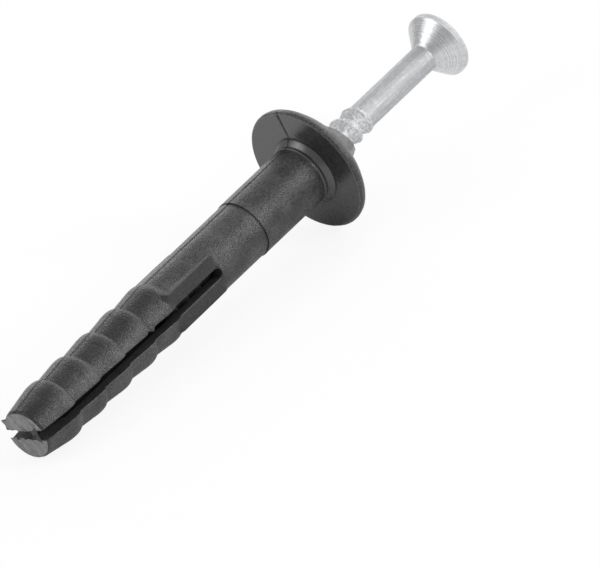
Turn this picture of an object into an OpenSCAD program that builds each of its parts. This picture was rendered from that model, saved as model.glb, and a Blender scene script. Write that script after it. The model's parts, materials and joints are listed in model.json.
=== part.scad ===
// Hammer fixing plug, size 6 x 40: a split nylon expansion sleeve with a mushroom
// flange, and the zinc-plated drive nail that stands in it before it is hammered home.
// Millimetres. The plug lies on its flange rim and its last barb, with +Z up.

/* [Sleeve] */
// Length of the sleeve under the flange
plug_len = 40; // [25:1:80]
// Diameter of the plain shank next to the flange
upper_shank_d = 5.88; // [4.6:0.02:9.8]
// Diameter of the shank below the ring line
lower_shank_d = 5.72; // [4.4:0.02:9.6]
// Distance from the flange down to the ring line
ring_at = 9.1; // [3:0.1:14]
// Diameter of the straight bore that guides the nail
bore_d = 3.16; // [2.6:0.02:6]
// Diameter of the small hole in the end of the sleeve
end_hole_d = 1.2; // [0.6:0.1:2.4]

/* [Flange] */
// Outer diameter of the mushroom flange
flange_d = 12.4; // [9:0.1:20]
// Height of the raised rim round the nail hole above the underside
flange_h = 3.55; // [2.6:0.05:5]
// Outer diameter of that raised rim
hub_d = 5.5; // [4.4:0.1:9]
// Slope of the mushroom top in degrees
dome_slope = 31; // [20:0.5:40]
// Diameter of the stepped root where the shank meets the flange
root_d = 7.0; // [5.6:0.1:11]

/* [Expansion zone] */
// Distance from the flange down to the round end of the slot
slot_from = 15.2; // [8:0.1:40]
// Width of the slot that splits the sleeve into two legs
slot_w = 1.05; // [0.6:0.05:2]
// Thickness of the web that still joins the legs at the tip on the front side
tip_web = 0.4; // [0.3:0.1:1.5]
// Width of the flat pads along the slot
pad_w = 3.76; // [2.8:0.02:6]
// Height of the pad tops above the axis
pad_top = 2.75; // [2:0.05:5]
// Number of barbs
barbs = 5; // [3:1:9]
// Distance from the flange down to the first barb's crest
first_barb = 22.1; // [12:0.1:50]
// Distance from one crest to the next
barb_pitch = 3.56; // [2.4:0.02:6]
// Diameter over the crests
crest_d = 6.08; // [4.8:0.02:10]
// Diameter in the valleys between the barbs
valley_d = 5.56; // [4.2:0.02:9.4]
// Diameter of the end of the sleeve
tip_d = 4.9; // [3.4:0.1:8]

/* [Nail] */
// Length of the whole nail
nail_len = 43.2; // [30:0.1:80]
// Height of the nail head's top above the flange underside
nail_up = 19.6; // [16:0.1:30]
// Diameter of the smooth shank
nail_d = 2.62; // [2.2:0.02:5]
// Length of the smooth shank and head together
smooth_len = 11.8; // [6:0.1:18]
// Diameter of the countersunk head
head_d = 6.35; // [5:0.05:11]
// Height of the head's straight rim
head_rim = 0.6; // [0.3:0.05:1.2]
// Diameter over the drive thread's crests
thread_d = 3.08; // [2.5:0.02:5.6]
// Diameter at the drive thread's root
core_d = 2.36; // [1.9:0.02:4.6]
// Distance from one thread crest to the next
thread_pitch = 1.66; // [1:0.02:3]
// Length of the tapered point
point_len = 2.2; // [1:0.1:5]
// Width across the cross recess
recess_w = 3.5; // [2.4:0.1:5]

/* [Lying] */
// Turn of the sleeve about its own axis, from slot straight up toward the front
slot_roll = 80; // [-180:0.1:180]
// Turn of the nail about its own axis
nail_roll = 143.1; // [-180:0.1:180]

/* [Hidden] */
$fn = 96;

flange_r = flange_d / 2;
hub_r = hub_d / 2;
root_r = root_d / 2;
bore_r = bore_d / 2;
crest_r = crest_d / 2;
valley_r = valley_d / 2;
core_r = core_d / 2;
thread_r = thread_d / 2;
nail_r = nail_d / 2;
head_r = head_d / 2;
lip_w = 0.42;
mouth_r = hub_r - lip_w;
edge_round = 0.2;
rim_h = 0.42;
root_step = 0.2;
root_h = 0.8;
ring_groove = 0.06;
shoulder = 0.62;
cone_h = head_r - nail_r;
cone_from = nail_up - head_rim - cone_h;
smooth_from = nail_up - smooth_len;
point_from = nail_up - nail_len + point_len;
thread_steps = 24;
fade = 0.45;
recess_h = 1.7;
head_edge = 0.12;
tip_edge = 0.1;
last_barb = first_barb + (barbs - 1) * barb_pitch;
narrow_from = plug_len - 4;

// The plug rests on its flange rim and on the crest of its last barb.
crest_flat = 0.4;
crest_drop = 0.015;
rest_run = last_barb + crest_flat + edge_round;
rest_rise = flange_r - (crest_r - crest_drop);
rest_tilt = atan(rest_rise / rest_run);
floor_z = edge_round * sin(rest_tilt) - flange_r * cos(rest_tilt);
head_x = nail_up * cos(rest_tilt) + (head_r - head_edge) * sin(rest_tilt);
tip_x = -plug_len * cos(rest_tilt) - (tip_d / 2 - tip_edge) * sin(rest_tilt);

// Lays the plug down from its own upright axis, flange underside at z = 0.
module lay(roll) {
    translate([-(head_x + tip_x) / 2, 0, -floor_z])
        rotate([0, 90 - rest_tilt, 0])
            rotate([0, 0, 180 + roll])
                children();
}

// One barb's outline, from the step that faces the flange to the valley below it.
function barb(s) = [
    [valley_r, -(s - 0.95)],
    [crest_r - 0.09, -(s - shoulder)],
    [crest_r - 0.02, -(s - 0.3)],
    [crest_r, -s],
    [crest_r - crest_drop, -(s + crest_flat)],
    [crest_r - 0.06, -(s + 0.75)]
];

dome_from = flange_r - 0.85;
dome_at = 1.42;
function dome(r) = dome_at + (dome_from - r) * tan(dome_slope);

// Half outline of the sleeve, from the tip up to the raised rim.
module sleeve_outline() {
    polygon(concat(
        [
            [0, flange_h],
            [hub_r - 0.14, flange_h],
            [hub_r, flange_h - 0.16],
            [hub_r + 0.1, dome(hub_r + 0.1)],
            [dome_from, dome_at],
            [flange_r - 0.34, 0.98],
            [flange_r - 0.08, 0.68],
            [flange_r, rim_h],
            [flange_r, edge_round],
            [flange_r - 0.06, 0.06],
            [flange_r - edge_round, 0],
            [root_r, 0],
            [root_r, -root_step],
            [upper_shank_d / 2, -root_h],
            [upper_shank_d / 2, -ring_at],
            [lower_shank_d / 2 - ring_groove, -ring_at - 0.02],
            [lower_shank_d / 2 - ring_groove, -ring_at - 0.14],
            [lower_shank_d / 2, -ring_at - 0.2],
            [lower_shank_d / 2, -(first_barb - 0.95)]
        ],
        [for (i = [0 : barbs - 1]) each barb(first_barb + i * barb_pitch)],
        [
            [tip_d / 2 + 0.08, -plug_len + 0.25],
            [tip_d / 2 - tip_edge, -plug_len],
            [0, -plug_len]
        ]
    ));
}

// Half outline of the bore: countersink, straight guide, narrowing end.
module bore_outline() {
    polygon([
        [0, flange_h + 1],
        [mouth_r + 1, flange_h + 1],
        [mouth_r, flange_h],
        [bore_r, flange_h - (mouth_r - bore_r)],
        [bore_r, -narrow_from],
        [end_hole_d / 2, -plug_len + 0.8],
        [end_hole_d / 2, -plug_len - 1],
        [0, -plug_len - 1]
    ]);
}

// Flat pads beside the slot, rounded over toward the flange.
module pads() {
    pad_end = first_barb - shoulder;
    pad_round = 1;
    intersection() {
        rotate([0, 90, 0])
            linear_extrude(2 * pad_top, center = true)
                pad_plan(pad_w, pad_end, pad_round);
        rotate([0, 0, 90])
            rotate([0, 90, 0])
                linear_extrude(pad_w, center = true)
                    pad_plan(2 * pad_top, pad_end, pad_round);
    }
}

// Rectangle along the slot with two round corners at its upper end.
module pad_plan(wide, end, corner) {
    translate([slot_from + corner, -wide / 2])
        square([end - slot_from - corner, wide]);
    translate([slot_from, corner - wide / 2])
        square([end - slot_from, wide - 2 * corner]);
    for (side = [-1, 1])
        translate([slot_from + corner, side * (wide / 2 - corner)])
            circle(corner, $fn = 32);
}

// Slot through both walls, with a round end toward the flange.
// It runs out through the tip at the back and stops at the web in front.
module slot() {
    slot_half(plug_len - tip_web);
    rotate([0, 0, 180])
        slot_half(plug_len + 1);
}

module slot_half(end) {
    rotate([0, 90, 0])
        linear_extrude(flange_d)
            union() {
                translate([slot_from + slot_w / 2, 0])
                    circle(slot_w / 2, $fn = 32);
                translate([slot_from + slot_w / 2, -slot_w / 2])
                    square([end - slot_from - slot_w / 2, slot_w]);
            }
}

module plug_sleeve() {
    color("#4c4d50")
        lay(slot_roll)
            difference() {
                union() {
                    rotate_extrude()
                        sleeve_outline();
                    pads();
                }
                rotate_extrude()
                    bore_outline();
                slot();
            }
}

// Outline of one thread turn, downward from the crest: steep toward the head.
turn = [
    [thread_r, 0],
    [thread_r, -0.11 * thread_pitch],
    [core_r, -0.7 * thread_pitch],
    [core_r, -0.86 * thread_pitch]
];

// Drive thread and its core as one closed skin that winds up from z0 to z1.
module drive_thread(z0, z1) {
    n = thread_steps;
    k = len(turn);
    steps = floor((z1 - z0) / thread_pitch * n);
    last = steps - n;
    function grow(m) = max(0, min(1, m / n / fade, (last - m) / n / fade));
    function point_on(m, r, z) = [
        r * cos(360 * m / n),
        r * sin(360 * m / n),
        z0 + thread_pitch * (m / n + 1) + z
    ];
    rows = [for (m = [0 : last + n])
        [for (q = turn) point_on(m, core_r + (q[0] - core_r) * grow(m - n / 2), q[1])]];
    skin = [for (row = rows) each row];
    low = len(skin);
    points = concat(skin, [[0, 0, z0], [0, 0, z1]]);
    function at(m, j) = m * k + j;
    faces = concat(
        [for (m = [0 : last + n - 1], j = [0 : k - 2])
            each [[at(m, j), at(m + 1, j), at(m + 1, j + 1)], [at(m, j), at(m + 1, j + 1), at(m, j + 1)]]],
        [for (m = [0 : last - 1])
            each [
                [at(m + n, k - 1), at(m + n + 1, k - 1), at(m + 1, 0)],
                [at(m + n, k - 1), at(m + 1, 0), at(m, 0)]
            ]],
        [for (m = [0 : n - 1]) [low, at(m, k - 1), at(m + 1, k - 1)]],
        [for (j = [0 : k - 2]) [low, at(0, j), at(0, j + 1)]],
        [[low, at(n, k - 1), at(0, 0)]],
        [for (m = [last : last + n - 1]) [low + 1, at(m + 1, 0), at(m, 0)]],
        [for (j = [0 : k - 2]) [low + 1, at(last + n, j + 1), at(last + n, j)]],
        [[low + 1, at(last, 0), at(last + n, k - 1)]]
    );
    polyhedron(points, faces, convexity = 10);
}

// Cross recess in the top of the head.
module cross_recess() {
    translate([0, 0, nail_up - recess_h])
        intersection() {
            union() {
                translate([-recess_w / 2, -0.45, 0])
                    cube([recess_w, 0.9, 2 * recess_h]);
                translate([-0.45, -recess_w / 2, 0])
                    cube([0.9, recess_w, 2 * recess_h]);
                cylinder(h = 2 * recess_h, r1 = 0.6, r2 = 1.8, $fn = 32);
            }
            cylinder(h = recess_h + 0.01, r1 = 0.7, r2 = recess_w / 2);
        }
}

module drive_nail() {
    color("#c9c9cb")
        lay(nail_roll)
            difference() {
                union() {
                    rotate_extrude()
                        polygon([
                            [0, smooth_from - 0.9],
                            [core_r, smooth_from - 0.9],
                            [nail_r, smooth_from - 0.4],
                            [nail_r, cone_from],
                            [head_r, nail_up - head_rim],
                            [head_r, nail_up - head_edge],
                            [head_r - head_edge, nail_up],
                            [0, nail_up]
                        ]);
                    drive_thread(point_from, smooth_from);
                    rotate_extrude()
                        polygon([
                            [0, point_from + 0.8],
                            [core_r - 0.03, point_from + 0.8],
                            [core_r - 0.03, point_from],
                            [0.25, point_from - point_len],
                            [0, point_from - point_len]
                        ]);
                }
                cross_recess();
            }
}

plug_sleeve();
drive_nail();
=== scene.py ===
import json
import math
import bmesh
import bpy
import numpy as np
from mathutils import Matrix, Vector, noise


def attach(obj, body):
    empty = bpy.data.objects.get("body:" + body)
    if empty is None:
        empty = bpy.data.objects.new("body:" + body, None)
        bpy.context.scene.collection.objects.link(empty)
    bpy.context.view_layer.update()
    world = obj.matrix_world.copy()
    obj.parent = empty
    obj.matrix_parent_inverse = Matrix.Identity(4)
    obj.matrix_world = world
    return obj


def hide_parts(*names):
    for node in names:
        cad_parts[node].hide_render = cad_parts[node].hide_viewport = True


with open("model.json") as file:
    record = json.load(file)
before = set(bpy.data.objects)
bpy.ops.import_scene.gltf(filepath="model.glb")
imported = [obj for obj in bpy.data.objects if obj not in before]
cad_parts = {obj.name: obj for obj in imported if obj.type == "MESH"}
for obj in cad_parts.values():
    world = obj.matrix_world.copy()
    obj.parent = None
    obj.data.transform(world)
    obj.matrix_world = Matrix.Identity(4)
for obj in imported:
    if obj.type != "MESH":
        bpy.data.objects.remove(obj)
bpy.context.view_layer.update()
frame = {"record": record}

# How the plug lies: on the rim of its flange and its last barb, with the tip low.
# Heights run in millimetres along its axis from the seat under the flange, plus toward
# the nail's head, and turns go round the axis from straight up toward the front.
seat = frame["record"]["mounts"][0]
head_way = -Vector(seat["axis"]).normalized()
up_way = (Vector((0, 0, 1)) - head_way * head_way.z).normalized()
front_way = head_way.cross(up_way)
seat_centre = Vector((seat["pos_m"][0], 0, seat["pos_m"][2]))
slot_turn = math.radians(80)
view_turn = slot_turn - math.radians(28)
sight = up_way * math.cos(view_turn) + front_way * math.sin(view_turn)
beside = front_way * math.cos(view_turn) - up_way * math.sin(view_turn)

# The expansion sleeve: one charcoal nylon moulding with a mushroom flange, a plain shank
# with a ring line, a slot cut through it between flat pads, five barbs and a cut-off tip.
plug_len, tip_r, mouth_r, bore_r, hole_r = 40.0, 2.35, 2.33, 1.58, 0.6
slot_from, slot_half, web_r = 15.2, 0.525, 1.6
pad_half, pad_top, pad_round, pad_to = 1.88, 2.75, 0.6, 22.1
barbs, first_barb, barb_pitch, crest_r = 5, 22.1, 3.56, 3.04
upper_r, lower_r, crown_slope = 2.94, 2.86, math.tan(math.radians(31))
root_line = [(0.66, 3.085), (0.7, 3.0), (0.75, 3.0), (0.79, 3.06),
             (0.84, 3.075), (0.9, 3.06), (0.97, 2.95), (1.02, upper_r)]
ring_line = [(9.1, upper_r), (9.11, 2.81), (9.2, 2.81), (9.24, lower_r)]
barb_line = [(-0.82, 2.77), (-0.66, 2.93), (-0.5, 2.995), (-0.3, 3.03),
             (0, crest_r), (0.4, 3.02), (0.75, 2.975)]
shank_line = root_line + ring_line + [(21.14, lower_r)]
for i in range(barbs):
    shank_line += [(first_barb + i * barb_pitch + s, r) for s, r in barb_line if i or s > -0.7]
shank_line += [(39.75, 2.53), (plug_len, tip_r)]
seat_line = [(3.43, -0.16), (3.43, 0), (3.46, 0), (4, 0), (4.6, 0), (5.2, 0), (5.7, 0), (5.97, 0), (6, 0)]
rim_line = [(6.05, 0.01), (6.13, 0.06), (6.19, 0.2), (6.19, 0.42), (6.11, 0.68), (5.86, 0.98), (5.35, 1.42)]
crown_line = [(r, 1.42 + (5.35 - r) * crown_slope) for r in np.arange(5.05, 2.8, -0.25)]
lip_line = [(2.84, 2.95), (2.78, 3.2), (2.72, 3.42), (2.6, 3.53), (2.45, 3.55), (mouth_r, 3.5), (1.95, 3.17)]


def place(radius, turn, height):
    across = radius * np.cos(turn), radius * np.sin(turn), height + 0 * radius * turn
    ways = up_way, front_way, head_way
    return np.array(seat_centre) + 0.001 * sum(a[..., None] * np.array(w) for a, w in zip(across, ways))


def ease(low, high, value):
    t = np.clip((value - low) / (high - low), 0, 1)
    return t * t * (3 - 2 * t)


def lumps(points, size, seed):
    flat = points.reshape(-1, 3) / size
    return np.array([noise.noise(Vector(p) + Vector((seed, 0, 0))) for p in flat]).reshape(points.shape[:-1])


def shell(name, grids, smooth_below):
    verts, faces, kinds = [], [], []
    for points, kind in grids:
        n, m = points.shape[:2]
        start = sum(len(v) for v in verts)
        ids = start + np.arange(n * m).reshape(n, m)
        verts.append(points.reshape(-1, 3))
        quads = np.stack([ids[:-1, :-1], ids[:-1, 1:], ids[1:, 1:], ids[1:, :-1]], -1).reshape(-1, 4)
        faces += quads.tolist()
        kinds += [kind] * len(quads)
    mesh = bpy.data.meshes.new(name)
    mesh.from_pydata(np.concatenate(verts).tolist(), [], faces)
    mesh.polygons.foreach_set("material_index", kinds)
    bm = bmesh.new()
    bm.from_mesh(mesh)
    bmesh.ops.remove_doubles(bm, verts=bm.verts, dist=8e-7)
    bmesh.ops.dissolve_degenerate(bm, edges=bm.edges, dist=2e-7)
    bmesh.ops.recalc_face_normals(bm, faces=bm.faces)
    bm.to_mesh(mesh)
    bm.free()
    mesh.shade_smooth()
    mesh.set_sharp_from_angle(angle=math.radians(smooth_below))
    piece = bpy.data.objects.new(name, mesh)
    bpy.context.collection.objects.link(piece)
    return piece


def slot_width(s):
    wide = np.sqrt(np.clip(slot_half ** 2 - np.clip(slot_half - (s - slot_from), 0, slot_half) ** 2, 0, None))
    return np.where(s > slot_from, wide, 0)


# Rows follow the sleeve's wall: across the tip's end, up the outside, round the flange
# and down the bore. Outside and bore share the same rows along the slot.
end_steps = 9
slot_end = slot_from + slot_half * (1 - np.cos(np.linspace(0, math.pi / 2, 9)))
slot_rows = np.concatenate([slot_end, np.arange(15.9, 21.1, 0.15), [21.14, 21.15, pad_to, pad_to + 0.02],
                            np.arange(21.2, 39.5, 0.1), [39.6, 39.68, 39.75, 39.85, 39.95, plug_len]])
slot_rows = np.unique(np.round(slot_rows, 3))
ring_rows = [9.06, 9.1, 9.11, 9.14, 9.17, 9.2, 9.22, 9.24, 9.28, 9.36]
plain_rows = np.concatenate([[s for s, r in root_line], np.arange(1.2, 9, 0.4), ring_rows,
                             np.arange(9.7, 14.9, 0.4), [14.9, 15.0, 15.1, 15.16]])
rows = [(hole_r + (tip_r - hole_r) * k / end_steps, -plug_len) for k in range(end_steps)]
out_s = np.concatenate([slot_rows[::-1], plain_rows[::-1]])
line_s, line_r = np.array(shank_line).T
out_from = len(rows)
rows += list(zip(np.interp(out_s, line_s, line_r), -out_s))
flange_from = len(rows)
rows += seat_line + rim_line + crown_line + lip_line
bore_from = len(rows)
bore_lead = np.linspace(-2.8, slot_from, 24)[:-1]
bore_s = np.concatenate([bore_lead, slot_rows])
rows += list(zip(np.interp(bore_s, [36, 39.2, 40], [bore_r, hole_r, hole_r]), -bore_s))
row_r, row_z = np.array(rows).T[..., None]
row_s = -row_z
row_at = np.arange(len(rows))[:, None]
ends, outer = row_at < out_from, (row_at >= out_from) & (row_at < flange_from)
under = (row_at >= flange_from) & (row_at < flange_from + len(seat_line) + 2)
at_tip = row_s > plug_len - 0.01

# Columns go round half the sleeve from the front slot to the back one, closer together at
# the slot's edges, the pads' sides and the mould's parting line.
quarter = [0, 0.9, 1.9, 3, 5, 8, 12, 16, 20, 24, 28, 31, 32.5, 33.6, 34.4, 35.2, 36.5, 38, 39.5, 41,
           42.5, 44, 45.5, 47, 48.5, 50, 55, 60, 66, 72, 78, 83, 86.5, 88, 88.6, 89.1, 89.6, 90]
columns = np.array(quarter + [180 - a for a in quarter[-2::-1]])

# Each stretch of rows and columns has the finish that its part of the mould or the knife gave it, except the flange's
# underside edge and the lip, which take the pale end-face nylon as a painted highlight.
moulded, cut_and_highlight, polished, cored, smooth = range(5)
web_row, web_column, pad_column = 6, 10, 12
pad_low, pad_high = out_from + np.sum(out_s > 22.05), out_from + np.sum(out_s > 15.15) - 1
root_from, rim_from, lip_from = flange_from - len(root_line), flange_from + len(seat_line), bore_from - len(lip_line)
sleeve_grids = []
for side in (1, -1):
    back = slot_width(row_s) * (row_s > 0)
    # A web thin as paper closes the front of the slot at the very end, inside the rim.
    front = np.where(at_tip & (row_r < web_r), 0, back)
    # A crumb of flash hangs on the slot's upper edge, with a nick beside it.
    crumb_at, nick_at = 25.25, 24.65
    crumb = 0.14 * np.exp(-((row_s - crumb_at) / 0.2) ** 2) - 0.28 * np.exp(-((row_s - nick_at) / 0.22) ** 2)
    front = front + np.where(outer & (side < 0), crumb, 0)
    # The knife smeared the lower half over the slot and tore the upper half's corner back.
    torn = 0.12 * np.sin(6.5 * row_r + side) + 0.05 * np.sin(17 * row_r)
    smear = -0.24 + 0.6 * torn if side > 0 else 0.12 * ease(1.2, 2.4, row_r) + 0.8 * torn
    back = back + np.where(at_tip & (row_at <= out_from), smear, 0)
    # Columns near a slot are pushed along by its half width, and those farther off stay put.
    gap_f = np.degrees(np.arcsin(np.clip(front / row_r, 0, 0.9999)))
    gap_b = np.degrees(np.arcsin(np.clip(back / row_r, 0, 0.9999)))
    reach_f, reach_b = np.maximum(40, gap_f + 10), np.maximum(40, gap_b + 10)
    turn = np.where(columns < reach_f, gap_f + columns * (reach_f - gap_f) / reach_f, columns + 0 * row_r)
    turn = np.where(180 - columns < reach_b,
                    180 - gap_b - (180 - columns) * (reach_b - gap_b) / reach_b, turn)
    turn = np.radians(turn)
    # The pads are flat, rounded at the upper end and sloped at the sides, and run out in a barb.
    fold = np.minimum(turn, math.pi - turn)
    lift = pad_top - 0.04 + 0.07 * (row_s - slot_from) / 6
    crown = np.clip((row_s - slot_from + 0.1) / pad_round, 0, 1)
    crown = pad_round - pad_round * np.sqrt(1 - (1 - crown) ** 2)
    corner, corner_r = np.arctan2(pad_half - crown, lift - crown), np.hypot(pad_half - crown, lift - crown)
    foot = np.radians(42 + 3 * (row_s - slot_from) / 6)
    flank = corner_r - np.maximum(corner_r - row_r, 0) * (fold - corner) / np.maximum(foot - corner, 0.02)
    pad = np.minimum((lift - crown) / np.cos(fold), flank)
    pad = row_r + (pad - row_r) * ease(pad_to, 21.6, row_s)
    on_pad = outer & (row_s >= slot_from - 0.1) & (row_s <= pad_to)
    radius = np.where(on_pad, np.maximum(row_r, pad), row_r + 0 * turn)
    # The slot's edges are broken, most beside the pads.
    across = np.sin(turn) * radius
    from_edge = np.minimum(across - front, np.where(back > 0, across - back, 9))
    broken = np.where(row_s < 21.4, 0.15, 0.05)
    in_slot = outer & (row_s > slot_from + 0.1)
    chamfer = np.where(in_slot, np.clip(broken - np.abs(from_edge), 0, None) * 0.7, 0)
    # The parting line is a fine furrow, and the front half of the mould sat a little low.
    off_line = np.degrees(turn) - 90
    furrow = np.where(under & (side > 0), 0.006, 0.09 - 0.09 * ease(21.3, 21.6, row_s))
    furrow = furrow * np.clip(1 - np.abs(off_line) / 1.7, 0, 1)
    step = 0.035 * ease(-0.9, 0.2, -off_line)
    sunk = np.where(outer, furrow + step, np.where(under, furrow + 0.5 * step, 0)) + chamfer
    along = np.gradient(np.concatenate([row_r, row_z], 1), axis=0)
    along /= np.linalg.norm(along, axis=1)[:, None]
    radius = radius - sunk * along[:, 1:]
    height = row_z + sunk * along[:, :1] + 0 * turn
    # The lip round the nail's hole is ragged and higher on the right, and flares with the head's cone.
    lip_turns = [-180, -60, -30, 0, 25, 40, 49, 60, 180]
    lip_rises = [-0.25, -0.2, -0.05, 0.25, 0.4, 0.36, -0.1, -0.25, -0.25]
    cone_drop = 1.22
    hub = ease(2.95, 3.3, row_z) * (row_at >= flange_from)
    around = np.degrees(np.mod(side * turn + slot_turn - view_turn + math.pi, 2 * math.pi)) - 180
    height = height + hub * np.interp(around, lip_turns, lip_rises)
    radius = np.where(hub > 0, np.maximum(radius, height - cone_drop), radius)
    # The knife that cut the sleeve off left curved marks, a ragged hole and a spur.
    mark_pitch, spur_turn, spur_long = 0.62, -147, 0.5
    radius = np.where(ends & (row_r < hole_r + 0.01), radius * (1 + 0.35 * np.cos(2 * turn)), radius)
    x, y = radius * np.sin(turn) * side, radius * np.cos(turn)
    marks = 0.022 * np.sin(2 * math.pi * (0.8 * x + 0.6 * y + 0.08 * x * x) / mark_pitch)
    marks = marks + 0.02 * np.sin(3.1 * y - 2 * x)
    height = height + np.where(ends, marks + 0.045, 0)
    spur = spur_long * np.exp(-((side * np.degrees(turn) - spur_turn) / 4.5) ** 2) * ease(39.6, plug_len, row_s)
    radius = radius + spur * (outer | ends) * (row_r > 2.2)
    points = place(radius, slot_turn + side * turn, height)
    # Moulded faces are never quite true.
    points = points + 0.000012 * lumps(points, 0.0016, 3)[..., None] * np.array(up_way + front_way)
    sleeve_grids += [(points[:web_row + 1, :web_column + 1], moulded),
                     (points[web_row:out_from + 1, :web_column + 1], cut_and_highlight),
                     (points[:out_from + 1, web_column:], cut_and_highlight),
                     (points[out_from:pad_low + 1], moulded),
                     (points[pad_low:pad_high + 1, :pad_column + 1], smooth),
                     (points[pad_low:pad_high + 1, pad_column:-pad_column], moulded),
                     (points[pad_low:pad_high + 1, -pad_column - 1:], smooth),
                     (points[pad_high:root_from + 1], moulded),
                     (points[root_from:rim_from], polished),
                     # A painted highlight: the thin strip at the flange's underside edge takes the pale end-face
                     # nylon.
                     (points[rim_from - 1:rim_from + 1], cut_and_highlight),
                     (points[rim_from:lip_from + 1], moulded),
                     # A painted highlight: the lip round the nail's hole takes the pale end-face nylon.
                     (points[lip_from:bore_from + 1], cut_and_highlight),
                     (points[bore_from:], cored)]
    # The slot's walls join the outside to the bore, row by row.
    share = np.linspace(0, 1, end_steps + 1)[:, None]
    first_out, first_in = out_from + len(slot_rows) - 1, bore_from + len(bore_lead)
    for column in (0, -1):
        wall = []
        for k in range(len(slot_rows)):
            outside, inside = points[first_out - k, column], points[first_in + k, column]
            wall.append(outside + (inside - outside) * share)
        wall[-1] = points[:out_from + 1, column][::-1]
        sleeve_grids.append((np.array(wall), cored))
sleeve = shell("expansion_sleeve", sleeve_grids, 32)


def linear(code):
    parts = [int(code[i:i + 2], 16) / 255 for i in (0, 2, 4)]
    return [p / 12.92 if p <= 0.04045 else ((p + 0.055) / 1.055) ** 2.4 for p in parts] + [1]


def material(name, **values):
    made = bpy.data.materials.new(name)
    made.use_nodes = True
    shader = made.node_tree.nodes["Principled BSDF"]
    for socket, value in values.items():
        shader.inputs[socket.replace("_", " ")].default_value = value
    return made, made.node_tree, shader


def add(tree, kind, inputs, stops=(), **settings):
    made = tree.nodes.new(kind)
    for name, value in settings.items():
        setattr(made, name, value)
    for name, value in inputs.items():
        if isinstance(value, bpy.types.NodeSocket):
            tree.links.new(value, made.inputs[name])
        else:
            made.inputs[name].default_value = value
    while stops and len(made.color_ramp.elements) < len(stops):
        made.color_ramp.elements.new(0.5)
    for i, (at, colour) in enumerate(stops):
        made.color_ramp.elements[i].position, made.color_ramp.elements[i].color = at, colour
    return made


# Moulded nylon: charcoal and matt, with a spark-eroded grain that breaks up its highlights.
# The real grain is finer than a pixel, so it is drawn 0.2 mm coarse to show.
nylon, tree, shader = material("moulded_nylon", Specular_IOR_Level=0.5)
spot = add(tree, "ShaderNodeTexCoord", {}).outputs["Object"]
cloud = add(tree, "ShaderNodeTexNoise",
            {"Vector": spot, "Scale": 1000 / 2.2, "Detail": 4, "Roughness": 0.6}).outputs["Fac"]
speck = add(tree, "ShaderNodeTexNoise",
            {"Vector": spot, "Scale": 1000 / 0.2, "Detail": 3, "Roughness": 0.7}).outputs["Fac"]
tone = add(tree, "ShaderNodeMath", {0: cloud, 1: speck}, operation="ADD").outputs[0]
# The barbs get a painted highlight beside the slot, where the key lamp's reflection falls, and painted shade on their
# far flank.
highlight_turn = math.radians(35)
highlight_way = sight * math.cos(highlight_turn) + beside * math.sin(highlight_turn)
highlight_from, barbs_from = highlight_way.dot(seat_centre), head_way.dot(seat_centre) - 0.0225
facing = add(tree, "ShaderNodeVectorMath", {0: spot, 1: highlight_way}, operation="DOT_PRODUCT").outputs["Value"]
facing = add(tree, "ShaderNodeMapRange",
             {"Value": facing, "From Min": highlight_from + 0.0013, "From Max": highlight_from + 0.0026,
              "To Min": -0.12, "To Max": 0.05}).outputs["Result"]
along = add(tree, "ShaderNodeVectorMath", {0: spot, 1: head_way}, operation="DOT_PRODUCT").outputs["Value"]
along = add(tree, "ShaderNodeMapRange",
            {"Value": along, "From Min": barbs_from, "From Max": barbs_from + 0.002,
             "To Min": 1.0, "To Max": 0.0}).outputs["Result"]
# Painted highlight beside the slot and painted shade on the far flank of the barbs, added to the grain's tone.
painted_highlight_and_shade = add(tree, "ShaderNodeMath", {0: facing, 1: along}, operation="MULTIPLY").outputs[0]
tone = add(tree, "ShaderNodeMath", {0: tone, 1: 0.5, 2: painted_highlight_and_shade}, operation="MULTIPLY_ADD").outputs[0]
greys = [(0.38, linear("1C1C1C")), (0.5, linear("303030")), (0.62, linear("484848"))]
grey = add(tree, "ShaderNodeValToRGB", {"Fac": tone}, stops=greys)
tree.links.new(grey.outputs["Color"], shader.inputs["Base Color"])
sheen = add(tree, "ShaderNodeMapRange",
            {"Value": speck, "From Min": 0.35, "From Max": 0.65, "To Min": 0.2, "To Max": 0.44})
tree.links.new(sheen.outputs["Result"], shader.inputs["Roughness"])
bump = add(tree, "ShaderNodeBump", {"Height": speck, "Strength": 0.85, "Distance": 0.00008})
tree.links.new(bump.outputs["Normal"], shader.inputs["Normal"])

# Cut nylon: where the knife went through, it is stress-whitened and dry, in dragged streaks. The same pale nylon is a
# painted highlight on the flange's underside edge and on the lip round the nail's hole.
cut_nylon_and_highlight, tree, shader = material("cut_nylon_and_highlight", Specular_IOR_Level=0.4, Roughness=0.62)
spot = add(tree, "ShaderNodeTexCoord", {}).outputs["Object"]
drag = add(tree, "ShaderNodeVectorMath", {0: spot, 1: sight}, operation="DOT_PRODUCT").outputs["Value"]
drag = add(tree, "ShaderNodeTexNoise",
           {"W": drag, "Scale": 1000 / 0.4, "Detail": 3}, noise_dimensions="1D").outputs["Fac"]
smear = add(tree, "ShaderNodeTexNoise",
            {"Vector": spot, "Scale": 1000 / 0.5, "Detail": 4, "Roughness": 0.65}).outputs["Fac"]
smear = add(tree, "ShaderNodeMath", {0: smear, 1: drag}, operation="ADD").outputs[0]
smear = add(tree, "ShaderNodeMath", {0: smear, 1: 0.5}, operation="MULTIPLY").outputs[0]
greys = [(0.36, linear("656565")), (0.5, linear("7A7A7A")), (0.62, linear("8E8E8E"))]
grey = add(tree, "ShaderNodeValToRGB", {"Fac": smear}, stops=greys)
tree.links.new(grey.outputs["Color"], shader.inputs["Base Color"])
bump = add(tree, "ShaderNodeBump", {"Height": smear, "Strength": 0.3, "Distance": 0.00003})
tree.links.new(bump.outputs["Normal"], shader.inputs["Normal"])

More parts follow.
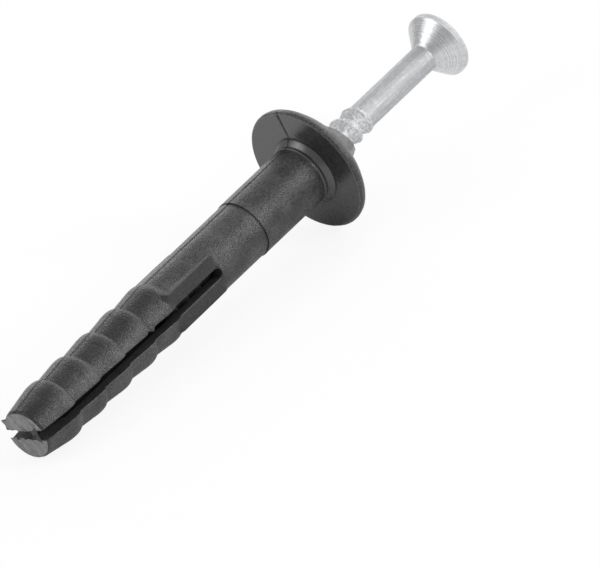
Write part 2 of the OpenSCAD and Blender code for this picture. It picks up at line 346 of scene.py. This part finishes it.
# Polished nylon: the mould is polished under the flange, so the seat is flat and shines.
polished_nylon, tree, shader = material("polished_nylon", Specular_IOR_Level=1.0)
spot = add(tree, "ShaderNodeTexCoord", {}).outputs["Object"]
cloud = add(tree, "ShaderNodeTexNoise",
            {"Vector": spot, "Scale": 1000 / 0.5, "Detail": 5, "Roughness": 0.8}).outputs["Fac"]
greys = [(0.35, linear("252525")), (0.65, linear("313131"))]
grey = add(tree, "ShaderNodeValToRGB", {"Fac": cloud}, stops=greys)
tree.links.new(grey.outputs["Color"], shader.inputs["Base Color"])
sheen = add(tree, "ShaderNodeMapRange",
            {"Value": cloud, "From Min": 0.35, "From Max": 0.65, "To Min": 0.24, "To Max": 0.34})
tree.links.new(sheen.outputs["Result"], shader.inputs["Roughness"])

# Cored nylon: steel cores form the slot and the bore, and leave a dull, dry skin.
cored_nylon, tree, shader = material("cored_nylon", Specular_IOR_Level=0.2, Roughness=0.7)
spot = add(tree, "ShaderNodeTexCoord", {}).outputs["Object"]
cloud = add(tree, "ShaderNodeTexNoise",
            {"Vector": spot, "Scale": 1000 / 0.6, "Detail": 3, "Roughness": 0.6}).outputs["Fac"]
greys = [(0.3, linear("2A2A2A")), (0.7, linear("3C3C3C"))]
grey = add(tree, "ShaderNodeValToRGB", {"Fac": cloud}, stops=greys)
tree.links.new(grey.outputs["Color"], shader.inputs["Base Color"])

# Smooth nylon: the pads come off a smoother insert than the shank, and look darker and plainer.
smooth_nylon, tree, shader = material("smooth_nylon", Specular_IOR_Level=0.32)
spot = add(tree, "ShaderNodeTexCoord", {}).outputs["Object"]
speck = add(tree, "ShaderNodeTexNoise",
            {"Vector": spot, "Scale": 1000 / 0.25, "Detail": 4, "Roughness": 0.7}).outputs["Fac"]
greys = [(0.35, linear("242424")), (0.65, linear("383838"))]
grey = add(tree, "ShaderNodeValToRGB", {"Fac": speck}, stops=greys)
tree.links.new(grey.outputs["Color"], shader.inputs["Base Color"])
sheen = add(tree, "ShaderNodeMapRange",
            {"Value": speck, "From Min": 0.35, "From Max": 0.65, "To Min": 0.36, "To Max": 0.56})
tree.links.new(sheen.outputs["Result"], shader.inputs["Roughness"])
bump = add(tree, "ShaderNodeBump", {"Height": speck, "Strength": 0.5, "Distance": 0.00005})
tree.links.new(bump.outputs["Normal"], shader.inputs["Normal"])
for made in (nylon, cut_nylon_and_highlight, polished_nylon, cored_nylon, smooth_nylon):
    sleeve.data.materials.append(made)
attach(sleeve, "plug")
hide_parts("plug_sleeve")

# The drive nail: zinc-plated steel, with a countersunk head and cross recess, a smooth
# shank and a buttress thread that is steep toward the head, rolled roughly at its start.
nail_r, core_r, thread_r, thread_pitch = 1.31, 1.18, 1.54, 1.66
thread_to, point_from, point_end, point_r = 7.8, -21.4, -23.6, 0.25
head_from, head_top, head_r, crest_at_view = 17.0, 19.6, 3.175, 6.0
nail_line = [(0.001, point_end), (0.16, point_end), (point_r, point_end + 0.06)]
nail_line += [(point_r + (core_r - point_r) * t, point_end + 0.06 + 2.14 * t) for t in np.linspace(0.1, 1, 9)]
nail_line += [(core_r, z) for z in np.arange(-21.3, 2.4, 0.11)]
nail_line += [(core_r + (nail_r - core_r) * ease(7.2, 7.9, z), z) for z in np.arange(2.4, 8.4, 0.045)]
nail_line += [(nail_r, z) for z in np.arange(8.6, 16.9, 0.35)] + [(nail_r, head_from)]
nail_line += [(nail_r + t, head_from + 0.135 + t) for t in np.linspace(0, head_r - nail_r, 30)]
nail_line += [(head_r, 19.06), (head_r, 19.2), (head_r, 19.4), (head_r, 19.48), (3.14, 19.56)]
nail_line += [(r, head_top) for r in (3.055, 2.9, 2.3, 1.2, 0.001)]
line_r, line_z = np.array(nail_line).T[..., None]
turn = np.radians(np.linspace(0, 360, 97))
below = np.mod(-((line_z - crest_at_view) / thread_pitch - (turn - view_turn) / (2 * math.pi)), 1)
rise = np.interp(below, [0, 0.11, 0.7, 0.86, 1], [1, 1, 0, 0, 1])
rough = lumps(place(line_r + 0 * turn, turn + 0 * line_r, line_z + 0 * turn), 0.00034, 11)
fade = ease(point_from, point_from + 0.7, line_z) * ease(thread_to + 0.25, thread_to - 0.35, line_z + 0.25 * rough)
in_thread = fade * (line_z < 8.2) * (line_z > point_from)
radius = line_r + in_thread * (rise * (thread_r - core_r) + 0.05 * (rough - 0.4))
radius = radius - 0.02 * ease(7.0, 7.5, line_z) * ease(8.3, 7.8, line_z) * np.clip(rough, 0, 1)
nail = shell("drive_nail_steel", [(place(radius, turn + 0 * line_r, line_z + 0 * turn), 0)], 40)

# The cross recess is pressed into the head, tapering toward its floor.
arm, bar, recess_deep = 1.75, 0.45, 1.7
outline = [(bar, arm), (bar, bar), (arm, bar), (arm, -bar), (bar, -bar), (bar, -arm),
           (-bar, -arm), (-bar, -bar), (-arm, -bar), (-arm, bar), (-bar, bar), (-bar, arm)]
levels = []
for size, height in ((1.06, head_top + 0.2), (1.0, head_top - 0.02), (0.55, head_top - recess_deep)):
    x, y = np.array(outline).T * size
    levels.append(place(np.hypot(x, y), np.arctan2(y, x) + view_turn + 0.4, np.full(len(outline), height)))
bm = bmesh.new()
rings = [[bm.verts.new(p) for p in level] for level in levels]
for low, high in zip(rings, rings[1:]):
    for i in range(len(outline)):
        after = (i + 1) % len(outline)
        bm.faces.new((low[i], low[after], high[after], high[i]))
bm.faces.new(rings[0])
bm.faces.new(rings[-1])
bmesh.ops.recalc_face_normals(bm, faces=bm.faces)
cutter_mesh = bpy.data.meshes.new("recess_cutter")
bm.to_mesh(cutter_mesh)
bm.free()
cutter = bpy.data.objects.new("recess_cutter", cutter_mesh)
bpy.context.collection.objects.link(cutter)
press = nail.modifiers.new("recess", "BOOLEAN")
press.operation, press.solver, press.object = "DIFFERENCE", "EXACT", cutter
pressed = bpy.data.meshes.new_from_object(nail.evaluated_get(bpy.context.evaluated_depsgraph_get()))
nail.modifiers.clear()
nail.data = pressed
bpy.data.objects.remove(cutter)
nail.data.set_sharp_from_angle(angle=math.radians(40))

# Bright zinc on drawn steel: streaks along the shank, turning marks round the cone, and a
# rough skin in the thread. Down in the sleeve its colour is darkened as painted shade from the bore round it.
zinc, tree, shader = material("bright_zinc", Metallic=1.0)
spot = add(tree, "ShaderNodeTexCoord", {}).outputs["Object"]
along = add(tree, "ShaderNodeVectorMath", {0: spot, 1: head_way}, operation="DOT_PRODUCT").outputs["Value"]
from_seat = -1000 * head_way.dot(seat_centre)
height = add(tree, "ShaderNodeMath", {0: along, 1: 1000.0, 2: from_seat}, operation="MULTIPLY_ADD").outputs[0]
lengthwise = add(tree, "ShaderNodeVectorMath", {0: head_way, "Scale": along}, operation="SCALE").outputs["Vector"]
squeezed = add(tree, "ShaderNodeVectorMath", {0: lengthwise, 1: (-0.92,) * 3, 2: spot}, operation="MULTIPLY_ADD")
drawn = add(tree, "ShaderNodeTexNoise",
            {"Vector": squeezed.outputs["Vector"], "Scale": 1000 / 0.22, "Detail": 3}).outputs["Fac"]
drawn = add(tree, "ShaderNodeMath", {0: drawn, 1: 0.24}, operation="SUBTRACT").outputs[0]
turned = add(tree, "ShaderNodeTexNoise",
             {"W": along, "Scale": 1000 / 0.08, "Detail": 2}, noise_dimensions="1D").outputs["Fac"]
skin = add(tree, "ShaderNodeTexNoise",
           {"Vector": spot, "Scale": 1000 / 0.2, "Detail": 3, "Roughness": 0.7}).outputs["Fac"]
pitted = add(tree, "ShaderNodeMath", {0: skin, 1: 2.2, 2: -0.6}, operation="MULTIPLY_ADD").outputs[0]
on_head = add(tree, "ShaderNodeMapRange", {"Value": height, "From Min": head_from, "From Max": 17.3}).outputs["Result"]
on_shank = add(tree, "ShaderNodeMapRange", {"Value": height, "From Min": 7.7, "From Max": 8.2}).outputs["Result"]
in_air = add(tree, "ShaderNodeMapRange", {"Value": height, "From Min": 1.0, "From Max": 3.0}).outputs["Result"]
marks = add(tree, "ShaderNodeMix", {"Factor": on_head, "A": drawn, "B": turned}).outputs["Result"]
marks = add(tree, "ShaderNodeMix", {"Factor": on_shank, "A": pitted, "B": marks}).outputs["Result"]
mottle = add(tree, "ShaderNodeTexNoise",
             {"Vector": spot, "Scale": 1000 / 0.35, "Detail": 4, "Roughness": 0.8}).outputs["Fac"]
tone = add(tree, "ShaderNodeMath", {0: marks, 1: mottle}, operation="ADD").outputs[0]
tone = add(tree, "ShaderNodeMath", {0: tone, 1: 0.5}, operation="MULTIPLY").outputs[0]
greys = [(0.36, linear("B8B9BB")), (0.64, linear("E2E3E4"))]
plating = add(tree, "ShaderNodeValToRGB", {"Fac": tone}, stops=greys).outputs["Color"]
# Below the seat the plating is darkened to painted shade for the bore round the nail.
bore_painted_shade = add(tree, "ShaderNodeMix", {"Factor": in_air, "A": linear("4A4A4C"), "B": plating}, data_type="RGBA")
tree.links.new(bore_painted_shade.outputs["Result"], shader.inputs["Base Color"])
cone_dull = add(tree, "ShaderNodeMapRange", {"Value": height, "From Min": head_from, "From Max": 17.3,
                                             "To Min": 0.58, "To Max": 0.24}).outputs["Result"]
rim_dull = add(tree, "ShaderNodeMapRange", {"Value": height, "From Min": 18.95, "From Max": 19.05,
                                            "To Min": 0.24, "To Max": 0.68}).outputs["Result"]
dull = add(tree, "ShaderNodeMath", {0: cone_dull, 1: rim_dull}, operation="MAXIMUM").outputs[0]
dull = add(tree, "ShaderNodeMath", {0: skin, 1: 0.2, 2: dull}, operation="MULTIPLY_ADD")
tree.links.new(dull.outputs[0], shader.inputs["Roughness"])
bump = add(tree, "ShaderNodeBump", {"Height": marks, "Strength": 0.7, "Distance": 0.00003})
tree.links.new(bump.outputs["Normal"], shader.inputs["Normal"])
nail.data.materials.append(zinc)
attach(nail, "nail")
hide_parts("drive_nail")

# The table and the room: a sweep of white paper that keeps a faint shadow, and white
# surroundings that the metal mirrors. In reflections the paper glows, with a painted shadow band close under the plug
# where it mirrors darker.
floor_mesh = bpy.data.meshes.new("floor")
floor_mesh.from_pydata([(-3, -3, 0), (3, -3, 0), (3, 3, 0), (-3, 3, 0)], [], [(0, 1, 2, 3)])
floor = bpy.data.objects.new("floor", floor_mesh)
bpy.context.collection.objects.link(floor)
paper = bpy.data.materials.new("white_paper")
paper.use_nodes = True
tree = paper.node_tree
tree.nodes.clear()
matt = add(tree, "ShaderNodeBsdfDiffuse", {"Color": linear("F2F2F2")})
glow = add(tree, "ShaderNodeEmission", {"Color": linear("FFFFFF"), "Strength": 1.0})
path = add(tree, "ShaderNodeLightPath", {})
spot = add(tree, "ShaderNodeSeparateXYZ", {0: add(tree, "ShaderNodeTexCoord", {}).outputs["Object"]}).outputs["Y"]
aside = add(tree, "ShaderNodeMath", {0: spot}, operation="ABSOLUTE").outputs[0]
# Painted shadow: the paper glows in reflections only beyond a band close under the plug.
glow_outside_painted_shadow = add(tree, "ShaderNodeMapRange",
           {"Value": aside, "From Min": 0.003, "From Max": 0.011, "To Min": 0.0, "To Max": 0.75}).outputs["Result"]
seen = add(tree, "ShaderNodeMath", {0: path.outputs["Is Glossy Ray"], 1: glow_outside_painted_shadow}, operation="MULTIPLY").outputs[0]
seen = add(tree, "ShaderNodeMath", {0: path.outputs["Is Camera Ray"], 1: 0.88, 2: seen}, operation="MULTIPLY_ADD")
both = add(tree, "ShaderNodeMixShader", {0: seen.outputs[0], 1: matt.outputs[0], 2: glow.outputs[0]})
add(tree, "ShaderNodeOutputMaterial", {"Surface": both.outputs[0]})
floor.data.materials.append(paper)
world = bpy.data.worlds.new("white_room")
bpy.context.scene.world = world
world.use_nodes = True
tree = world.node_tree
tree.nodes.clear()
way = add(tree, "ShaderNodeTexCoord", {}).outputs["Generated"]
ahead = add(tree, "ShaderNodeVectorMath", {0: way, 1: head_way}, operation="DOT_PRODUCT").outputs["Value"]
ahead = add(tree, "ShaderNodeMath", {0: ahead, 1: 0.5, 2: 0.5}, operation="MULTIPLY_ADD").outputs[0]
light = [(at, (level,) * 3 + (1,)) for at, level in ((0.5, 0.55), (0.78, 0.68), (1, 0.75))]
sky = add(tree, "ShaderNodeValToRGB", {"Fac": ahead}, stops=light).outputs["Color"]
room = add(tree, "ShaderNodeBackground", {"Color": sky, "Strength": 1.0})
add(tree, "ShaderNodeOutputWorld", {"Surface": room.outputs[0]})


# The studio lamps: four round soft boxes, one above as the key and three low ones that
# edge the sleeve and the nail. Each hangs at an arm's length from the seat.
def lamp(name, way, size, watts):
    data = bpy.data.lights.new(name, "AREA")
    data.shape, data.size, data.energy = "DISK", size, watts
    made = bpy.data.objects.new(name, data)
    bpy.context.collection.objects.link(made)
    way = (head_way * way[0] + sight * way[1] + beside * way[2]).normalized()
    made.location = seat_centre + way * 0.7
    made.rotation_euler = way.to_track_quat("Z", "Y").to_euler()


lamp("key", (0.36, 0.9, 0.12), 0.24, 2.1)
lamp("side", (-0.65, 0.05, -0.755), 0.4, 1.1)
lamp("rim", (0.52, -0.48, -0.71), 0.4, 0.7)
lamp("back", (0.97, 0.1, -0.2), 0.8, 2.7)

# The camera looks down from the tip's side, far off, so that the view is nearly parallel.
# It is aimed by the pixel on which the centre of the seat falls.
picture_w, picture_h, seat_x, seat_y = 600, 567, 306.0, 170.1
pixels_per_mm, down_axis, axis_slope, distance = 11.3, math.radians(32.25), math.radians(43.66), 2
toward = (sight * math.cos(down_axis) - head_way * math.sin(down_axis)).normalized()
rising = (head_way - toward * head_way.dot(toward)).normalized()
right = rising * math.cos(axis_slope) + beside * math.sin(axis_slope)
above = toward.cross(right)
off_middle = right * (seat_x - picture_w / 2) + above * (picture_h / 2 - seat_y)
target = seat_centre - 0.001 / pixels_per_mm * off_middle
lens = bpy.data.cameras.new("camera")
lens.sensor_width = 36
lens.lens = 36 * distance / (0.001 * picture_w / pixels_per_mm)
lens.clip_start, lens.clip_end = 0.05, 20
camera = bpy.data.objects.new("camera", lens)
bpy.context.collection.objects.link(camera)
turned_to = Matrix((right, above, toward)).transposed().to_4x4()
camera.matrix_world = Matrix.Translation(target + toward * distance) @ turned_to
bpy.context.scene.camera = camera
bpy.context.scene.view_settings.view_transform = "Standard"
